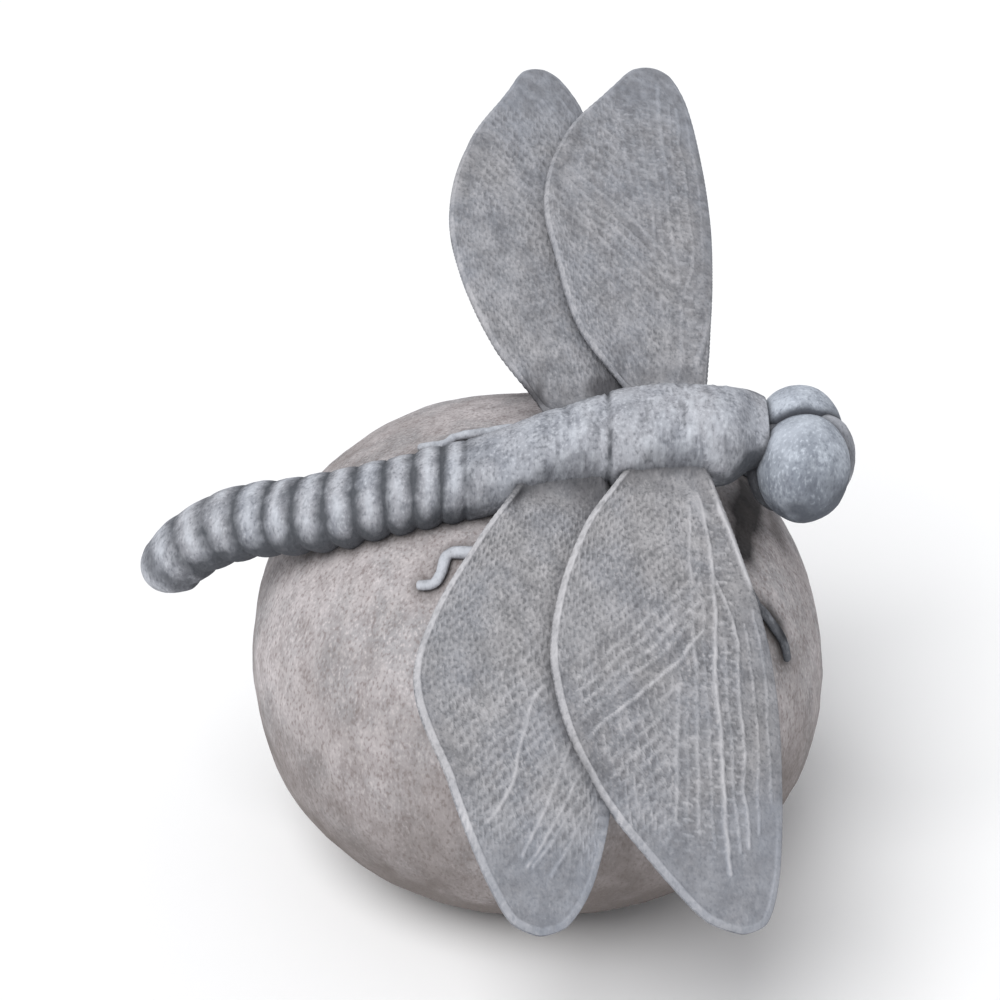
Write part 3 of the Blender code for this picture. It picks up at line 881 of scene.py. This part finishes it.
def make_egg(name, shape, side, node, dent, tone, seed):
    """An egg shape of the head with an uneven cast surface."""
    along, out, above, *half = shape
    centre, forward, left, up, _ = body_at(np.zeros(1), HEAD_ROLL)
    bm, ball = new_ball(HEAD_STEPS)
    place = ball * EGG_RADIUS
    rows = ((dent, DENT_SIZE, seed), (GRIT_HEIGHT, EGG_GRIT_SIZE, seed + 1))
    dents = layered(place, rows)
    x, y, z = (ball * (half + (dents - dent)[:, None])).T
    across = side * out + y
    points = centre + forward * (along + x)[:, None]
    points += left * across[:, None] + up * (above + z)[:, None]
    # One side of each egg is painted lighter and the other painted in shade.
    painted_light = ball @ LIT_SIDE
    features = {
        "dents": dents,
        "mottle": lumps(place, EGG_MOTTLE_SIZE, seed + 2),
        "painted_light": painted_light,
        "shaded": smooth_step(-painted_light, 0.0, 1.0),
        "seam": np.exp(-((across / EYE_SEAM_WIDTH) ** 2)),
    }
    relief = tone + weighed(EGG_TONES, features)
    if side:
        relief += weighed(EYE_TONES, features)
    if side > 0:
        relief += LEFT_EYE_TONE
    finish = (eye_stone, "eye_stone") if side else (body_stone, "dragonfly_stone")
    return finished(name, bm, points, relief, *finish, node)


# ---- wings


def wing_edges(name, span):
    leading, trailing = OUTLINES[name]
    places = np.interp(span, SPAN_SHARES, range(len(SPAN_SHARES)))
    return smooth_through(leading, places), smooth_through(trailing, places)


def wing_place(name, reach, offset, above):
    """Points of a wing at a reach along its axis, an offset across it and a height."""
    side, root_x, root_up, length, slope, tip_slope, twist, lean = WINGS[name]
    slope, tip_slope, turn = (math.radians(angle) for angle in (slope, tip_slope, twist))
    here = slope + (tip_slope - slope) * reach / length
    bend_radius = length / (tip_slope - slope)
    outward = bend_radius * (np.sin(here) - math.sin(slope))
    downward = bend_radius * (math.cos(slope) - np.cos(here))
    root = distance_at(root_x)
    centre, _, left, up, sizes = (value[0] for value in body_at(np.array([root])))
    middle = np.array([root_x, centre[1], centre[2]])
    middle = middle + left * side * (sizes[0] - WING_ROOT_INSIDE) + up * root_up
    middle = middle + np.column_stack([lean * reach, side * outward, -downward])
    level = np.column_stack([np.zeros_like(here), side * np.sin(here), np.cos(here)])
    along = np.array([1.0, 0.0, 0.0])
    chord = along * math.cos(turn) - level * math.sin(turn)
    normal = level * math.cos(turn) + along * math.sin(turn)
    return middle + chord * offset[:, None] + normal * above[:, None]


def distance_to_rim(name, reach, offset):
    """How far each point of the flat wing is from its edge, the root's end left out."""
    length = WINGS[name][3]
    span = np.linspace(0.0, 1.0, 500)
    out = length * np.sin(math.pi / 2 * span)
    tree = KDTree(2 * len(span))
    for number, edge in enumerate(np.concatenate(wing_edges(name, span))):
        tree.insert((out[number % len(span)], edge, 0.0), number)
    tree.balance()
    return np.array([tree.find((r, c, 0.0))[2] for r, c in zip(reach, offset)])


def distance_to_curve(rows, reach, offset):
    """How far each point of the flat wing is from a smooth curve through the rows."""
    samples = smooth_through(rows, np.linspace(0, len(rows) - 1, 8 * len(rows)))
    nearest = np.full(len(reach), np.inf)
    for (r0, c0), (r1, c1) in zip(samples[:-1], samples[1:]):
        along, across = r1 - r0, c1 - c0
        share = ((reach - r0) * along + (offset - c0) * across) / (along**2 + across**2)
        share = np.clip(share, 0.0, 1.0)
        away = np.hypot(reach - r0 - along * share, offset - c0 - across * share)
        nearest = np.minimum(nearest, away)
    return nearest


def fan_relief(kind, reach, offset):
    """Fine veins slanting back from the strong ones, and the short veins across between them."""
    (origin, bend, slant), bands = FANS[kind]
    rest = np.maximum(origin - offset, 0.0)
    start = reach - np.sqrt(bend * rest) - slant * rest
    lines = [np.array([bands[0][0]])]
    for (begin, *_), (end, pitch, *_) in zip(bands[:-1], bands[1:]):
        lines.append(np.arange(begin + pitch, end + 0.01, pitch))
    lines = np.concatenate(lines)
    number = np.interp(start, lines, np.arange(len(lines)))
    gap = np.interp(start, (lines[:-1] + lines[1:]) / 2, np.diff(lines))
    steepness = np.sqrt(1.0 + (0.5 * np.sqrt(bend / np.maximum(rest, 0.4)) + slant) ** 2)
    band = np.searchsorted([row[0] for row in bands], start + 0.5).clip(0, len(bands) - 1)
    pitch, height, cross_pitch, cross_height = np.array(bands)[band, 1:].T
    away = np.abs(number - np.round(number)) * gap / steepness
    vein = height * ridge(away, np.minimum(FAN_VEIN_WIDTH, 0.5 * pitch))
    lane = np.floor(number)
    stagger = lane % 2
    jitter, jitter_size = CROSS_VEIN_JITTER
    length = rest * math.hypot(1.0, slant)
    length += jitter * lumps(np.column_stack([lane, lane, lane]), jitter_size)
    cross = np.abs((length / cross_pitch + 0.5 * stagger) % 1.0 - 0.5) * cross_pitch
    bead = 1.0 - BEADS * np.sin(math.pi * (length / cross_pitch + 0.5 * stagger)) ** 2
    return np.maximum(vein * bead, cross_height * ridge(cross, CROSS_VEIN_WIDTH))


def ladder_relief(fine, reach, offset):
    """The fine veins of a fore wing, with rungs in place of them ahead of the fan."""
    low, high = LADDER_ACROSS
    lane_pitch, rung_pitch = LADDER_PITCHES
    lane = np.floor((offset - low) / lane_pitch)
    rung = np.abs((reach / rung_pitch + lane * LADDER_STAGGER) % 1.0 - 0.5) * rung_pitch
    at_root, at_tip = LADDER_EDGE
    border = at_root + (at_tip - at_root) * smooth_step(reach, *LADDER_EDGE_MOVES)
    inside = (offset > border) * (offset < high)
    rungs = LADDER_HEIGHT * ridge(rung, CROSS_VEIN_WIDTH) * (reach > LADDER_START)
    return np.where(inside, rungs, np.where(offset < border, fine, 0.0))


def vein_relief(name, reach, offset, edge):
    """Heights in mm of the veins above the wing's face."""
    _, kind, side = name.split("_")
    _, _, strong_share, share, most_fine, *_ = CRISPNESS[side]
    flat = np.column_stack([reach, offset, np.zeros(len(reach))])
    reach = reach + layered(flat, WANDER_OUT)
    offset = offset + layered(flat, WANDER_ACROSS)
    fine = fan_relief(kind, reach, offset)
    if kind == "fore":
        fine = ladder_relief(fine, reach, offset)
    fine *= 1.0 - FINE_VEINS_FALL * smooth_step(reach, *FINE_VEINS_OUT)
    fine = np.minimum(fine, most_fine)
    bare = smooth_step(reach, *BARE_BACK_IN) * fading(reach, *BARE_BACK_OUT)
    fine *= 1.0 - BARE_BACK_FALL * bare * fading(edge, *BARE_BACK_EDGE) * (offset < 0)
    strong = np.zeros(len(reach))
    for rows, height, width in RIBS[kind]:
        away = distance_to_curve(rows, reach, offset)
        strong = np.maximum(strong, height * ridge(away, width))
    strength = VEIN_EVENNESS + layered(flat, VEIN_UNEVENNESS)
    kept, varied = STRONG_VEIN_EVENNESS
    veins = np.maximum(fine * strength, strong * (kept + varied * strength) * strong_share)
    return veins * smooth_step(reach, *VEINS_IN) * share


def swept_to_body(name, points, relief, reach, inside, top):
    """The points and tones, with the root's faces swept up and down the body's side."""
    first, last = ROOT_CLIMB
    climb = np.clip(first * (1.0 - reach / ROOT_REACH), last, first)
    turn = np.radians(climb) * np.where(top, 1.0, -1.0)
    angle = turn if WINGS[name][0] > 0 else math.pi - turn
    deep, shallow = ROOT_SUNK
    sunk = shallow + (deep - shallow) * fading(reach, *ROOT_SINKS)
    onto, tone = body_point(distance_at(points[:, 0]), angle, sunk)
    fillet = np.where(top, FILLET_REACH, LOWER_FILLET * FILLET_REACH)
    share = fading(reach, FILLET_START, fillet) * smooth_step(inside, *FILLET_EDGE_IN)
    near = fading(reach, *ROOT_TONE_OUT) * top
    return points + (onto - points) * share[:, None], relief + (tone - relief) * near


def flat_wing(name):
    """A flat double sheet, and where each of its points lies in the wing.

    These are its reach along the wing, its offset across it, the offsets of the leading and
    trailing edges there, and whether it is on the upper side.
    """
    bm = bmesh.new()
    across_steps, along_steps = WING_STEPS
    bmesh.ops.create_grid(bm, x_segments=across_steps, y_segments=along_steps, size=1.0)
    bmesh.ops.solidify(bm, geom=bm.faces[:], thickness=1.0)
    x, y, z = points_of(bm).T
    across, span = (x + 1) / 2, (y + 1) / 2
    across = across - EDGE_CROWDING * np.sin(2 * math.pi * across) / (2 * math.pi)
    span = (1.0 - ROOT_CROWDING) * span + ROOT_CROWDING * span**2
    front, back = wing_edges(name, span)
    reach = WINGS[name][3] * np.sin(math.pi / 2 * span)
    return bm, reach, back + (front - back) * across, front, back, z > -0.5


def rim_relief(reach, edge, leading, width):
    """How far the raised rim stands, as a share of its full height."""
    low, high = RIM_SLOPE
    rim = fading(edge, width * low, width * high)
    tip = smooth_step(reach, *TIP_IN)
    ahead = np.maximum(LEADING_RIM * fading(reach, *LEADING_RIM_OUT), LEADING_TIP_RIM * tip)
    rim *= np.where(leading, ahead, 1 - TRAILING_TIP_FALL * tip)
    return rim * smooth_step(reach, *RIM_IN)


def wing_tone(flat, veins, rim, edge, top, grit):
    """The relief tone of a wing away from the body."""
    low_veins = np.minimum(veins, LOW_VEIN) ** 2
    features = {"veins": veins, "low veins": low_veins, "rim": rim * (edge > EDGE_TONE)}
    relief = weighed(WING_TONES, features)
    relief = np.where(top, relief, UNDERSIDE_TONE * relief) + layered(flat, PATCH_TONE)
    return relief + grit * lumps(flat, GRIT_SIZE, GRIT_SEED)


def hind_root_shadow(reach, offset, gap_shadow):
    """The painted shadow at a hind wing's root: in the gap to the fore wing, and at its rear
    corner.
    """
    (shadow_reach, shadow_offset), spread, shadow_tone = ROOT_SHADOW
    away = (reach - shadow_reach) ** 2 + (offset - shadow_offset) ** 2
    gap = fading(reach, *GAP_OUT) * smooth_step(offset, *GAP_ACROSS_IN)
    return gap_shadow * gap + shadow_tone * np.exp(-away / spread)


def make_wing(name):
    _, kind, side = name.split("_")
    width_share, rim_share, _, _, _, grit, gap_shadow, bloom_share = CRISPNESS[side]
    bm, reach, offset, front, back, top = flat_wing(name)
    edge = distance_to_rim(name, reach, offset)
    flat = np.column_stack([reach, offset, np.zeros(len(reach))])
    veins = vein_relief(name, reach, offset, edge)
    leading = front - offset < offset - back
    rim = rim_share * rim_relief(reach, edge, leading, width_share * RIM_WIDTH)

    shed = fading(front - offset, 0.0, SHED_WIDTH) * smooth_step(reach, *SHED_IN)
    dip, dip_width = PANEL_HOLLOW
    hollow = dip * smooth_step(edge, RIM_WIDTH, RIM_WIDTH + dip_width)
    face = PANEL_HEIGHT + layered(flat, UPPER_LUMPS) - hollow - SHED_DEPTH * shed
    upper = face + np.maximum(veins, RIM_HEIGHT * rim)
    lower = PANEL_HEIGHT + UNDER_VEINS * veins + layered(flat, LOWER_LUMPS)
    rounding = np.sqrt(1.0 - (1.0 - np.clip(edge / EDGE_ROUNDING, 0.0, 1.0)) ** 2)
    points = wing_place(name, reach, offset, np.where(top, upper, -lower) * rounding)

    relief = wing_tone(flat, veins, rim, edge, top, grit)
    if kind == "hind":
        # Painted shadow at the hind wing's root.
        relief += hind_root_shadow(reach, offset, gap_shadow)
    inside = np.minimum(front - offset, offset - back)
    points, relief = swept_to_body(name, points, relief, reach, inside, top)
    # Painted shade at the tip and on the leading slope, and patches of bloom.
    bloom_and_shade_parts = {
        "tip": smooth_step(reach + layered(flat, TIP_SHADE_EDGE), *TIP_SHADE_IN),
        "shed": shed,
        "patches": smooth_step(lumps(flat, *BLOOM_PATCHES), *BLOOM_PATCH_IN),
    }
    bloom_and_shade = weighed(BLOOM_AND_SHADE_WEIGHTS, bloom_and_shade_parts) + bloom_share
    return finished(
        name + "_skin", bm, points, relief, wing_stone, "wing_stone", name, tinted=bloom_and_shade
    )


# ---- legs


def make_leg(name, rows):
    """A leg in low relief: a ball drawn out along the stone, thick at the body."""
    bm, ball = new_ball(LEG_STEPS)
    share, angle = drawn_out(ball)

    def line(shares):
        x, turn = smooth_through(rows, np.clip(shares, 0, 1) * (len(rows) - 1)).T
        return on_boulder(x, np.radians(turn), LEG_HEIGHT)

    centre = line(share)
    ahead = unit(line(share + 0.01) - line(share - 0.01))
    up = unit(centre - (0.0, 0.0, BOULDER_CENTRE_HEIGHT))
    up = unit(up - ahead * (up * ahead).sum(axis=1)[:, None])
    out = np.cross(ahead, up)
    swelling = np.abs(np.sin(math.pi * share * (len(rows) - 1))) ** SWELL_BLUNTNESS
    at_body, at_claw = LEG_HALF
    half = (at_body + (at_claw - at_body) * share) * (1.0 + LEG_KNEES * swelling)
    for to_end in (share, 1.0 - share):
        half = half * np.sqrt(np.clip(to_end, 0.0, LEG_END) / LEG_END)
    points = centre + out * (half * np.cos(angle))[:, None]
    points += up * (LEG_FLATNESS * half * np.sin(angle))[:, None]
    points += layered(points, LEG_LUMPS)[:, None] * up
    # Painted shadow on the leg, and all over the one under the wing and the head.
    shadow = np.maximum(painted_shadow_at(points), SHADED_LEG_TINT if name == SHADED_LEG else 0.0)
    # Lighter on the leg's top and darker on its lower side: painted highlight and painted shade.
    height = np.clip(np.sin(angle), DARKEST_SIDE, 1.0)
    features = {"height": height, "mottle": lumps(points, *LEG_MOTTLE), "shadow": shadow}
    relief = weighed(LEG_TONES, features)
    return finished(
        name + "_skin", bm, points, relief, body_stone, "dragonfly_stone", name, tinted=shadow
    )


# ---- painted shade where pieces meet


def paint_crease_shade(pieces):
    """Marks each piece's points for painted shade by how close the next piece is: 1 touching, 0
    out of reach.
    """
    trees = []
    for piece in pieces:
        bm = bmesh.new()
        bm.from_mesh(piece.data)
        trees.append(BVHTree.FromBMesh(bm))
        bm.free()
    for number, piece in enumerate(pieces):
        others = [tree for other, tree in enumerate(trees) if other != number]
        overhung = piece.name.startswith(("boulder", "wing_hind"))
        reach = DEEP_CREASE_REACH if overhung else CREASE_REACH
        marks = []
        for vertex in piece.data.vertices:
            near = reach
            for tree in others:
                found = tree.find_nearest(vertex.co, near)
                if found[3] is not None:
                    near = found[3]
            marks.append((1.0 - near / reach) ** CREASE_FALL)
        layer = piece.data.attributes.new("crease", "FLOAT", "POINT")
        layer.data.foreach_set("value", marks)


# ---- floor, light and camera

SUN_FROM = (-0.38, -0.55, 1.0)
SUN_STRENGTH = 2.35
SUN_SPREAD = math.radians(40.0)
SKY_STRENGTH = 0.5
FLOOR_SIZE = 3.0  # half its width in metres
VIEW_ELEVATION = math.radians(28.0)
VIEW_DISTANCE = 560.0
VIEW_TARGET = (-9.99, 18.63, 93.04)
VIEW_WIDTH = 270.0  # what the camera takes in at the target, in mm
SENSOR = 36.0


def make_floor():
    bm = bmesh.new()
    bmesh.ops.create_grid(bm, x_segments=1, y_segments=1, size=FLOOR_SIZE)
    material = bpy.data.materials.new("white paper")
    material.use_nodes = True
    paper = material.node_tree.nodes["Principled BSDF"]
    paper.inputs["Base Color"].default_value = colour("#FAFAFA")
    paper.inputs["Roughness"].default_value = 0.9
    floor = add_object("floor", bm, material)


def make_studio():
    """Even, bright studio light: a broad soft sun from the upper left and a pale surround."""
    scene = bpy.context.scene
    data = bpy.data.lights.new("overhead light", "SUN")
    data.energy = SUN_STRENGTH
    data.angle = SUN_SPREAD
    light = bpy.data.objects.new("overhead light", data)
    light.rotation_euler = Vector(SUN_FROM).to_track_quat("Z", "Y").to_euler()
    scene.collection.objects.link(light)
    world = bpy.data.worlds.new("studio")
    world.use_nodes = True
    sky = world.node_tree.nodes["Background"]
    sky.inputs["Color"].default_value = colour("#FBFCFF")
    # The camera sees the surround at full strength, and the stone is lit by less of it.
    rays = add(world.node_tree, "LightPath").outputs["Is Camera Ray"]
    seen = between(world.node_tree, rays, 0.0, 1.0, SKY_STRENGTH, 1.0)
    world.node_tree.links.new(seen, sky.inputs["Strength"])
    scene.world = world
    scene.view_settings.view_transform = "Standard"


def make_camera():
    data = bpy.data.cameras.new("camera")
    data.sensor_width = SENSOR
    data.lens = SENSOR * VIEW_DISTANCE / VIEW_WIDTH
    data.clip_start = 0.01
    camera = bpy.data.objects.new("camera", data)
    back = np.array((0.0, -math.cos(VIEW_ELEVATION), math.sin(VIEW_ELEVATION)))
    camera.location = to_frame(np.array(VIEW_TARGET) + back * VIEW_DISTANCE)
    camera.rotation_euler = (math.pi / 2 - VIEW_ELEVATION, 0.0, 0.0)
    bpy.context.scene.collection.objects.link(camera)
    bpy.context.scene.camera = camera


def main():
    pieces = [make_boulder(), make_body()]
    pieces += [make_egg(name, *shape) for name, shape in EGGS.items()]
    pieces += [make_wing(name) for name in WINGS]
    pieces += [make_leg(name, rows) for name, rows in LEGS.items()]
    paint_crease_shade(pieces)
    make_floor()
    make_studio()
    make_camera()


main()
